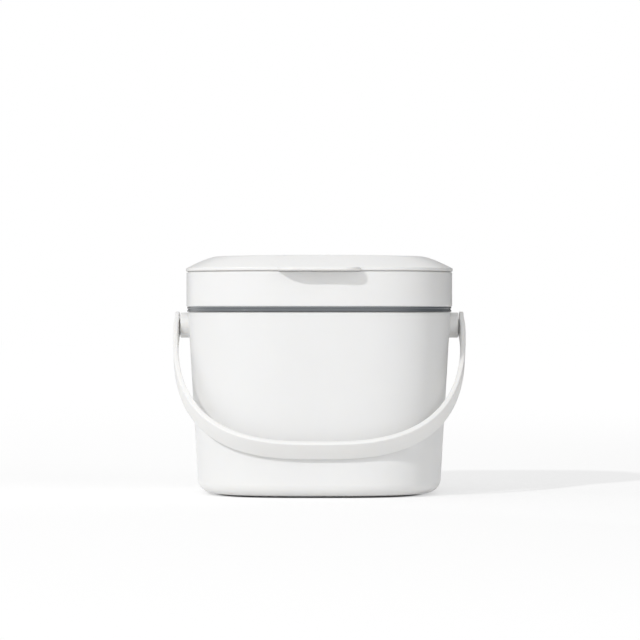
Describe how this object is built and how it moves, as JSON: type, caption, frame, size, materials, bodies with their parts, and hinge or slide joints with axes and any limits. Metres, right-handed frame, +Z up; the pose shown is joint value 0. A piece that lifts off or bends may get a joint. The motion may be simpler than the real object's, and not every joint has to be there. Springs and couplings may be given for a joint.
{
  "type": "compost caddy",
  "caption": "Rounded oblong kitchen compost caddy: tapered bucket, lift-out waisted collar, hinged domed lid with thumb tab, and a swinging bail handle.",
  "frame": {"origin": "centre of the flat foot under the bucket", "axes": "+X to the right along the width, -Y towards the front with the thumb tab, +Z up"},
  "size_m": [0.2006, 0.188, 0.1634],
  "materials": {
    "white_plastic": "satin moulded",
    "grey_plastic": "glossy moulded",
    "pin_steel": "drawn wire"
  },
  "bodies": {
    "bucket": {"bucket": "white_plastic"},
    "collar": {"collar": "grey_plastic"},
    "hinge_pin": {"hinge_pin": "pin_steel"},
    "lid": {"lid_cap": "white_plastic", "lid_skirt": "white_plastic"},
    "handle": {"handle": "white_plastic"}
  },
  "joints": [
    {"name": "collar_lift", "type": "slide", "parent": "bucket", "child": "collar", "axis": [0, 0, 1], "range_m": [0, 0.0236]},
    {"name": "lid_lift", "type": "slide", "parent": "collar", "child": "hinge_pin", "axis": [0, 0, 1], "range_m": [0, 0.0347]},
    {"name": "lid_hinge", "type": "hinge", "parent": "hinge_pin", "child": "lid", "pos_m": [0, 0.09, 0.1318], "axis": [1, 0, 0], "range_deg": [-100, 0]},
    {"name": "handle_swing", "type": "hinge", "parent": "bucket", "child": "handle", "pos_m": [0, 0, 0.1152], "axis": [1, 0, 0], "range_deg": [-271, 0]}
  ]
}
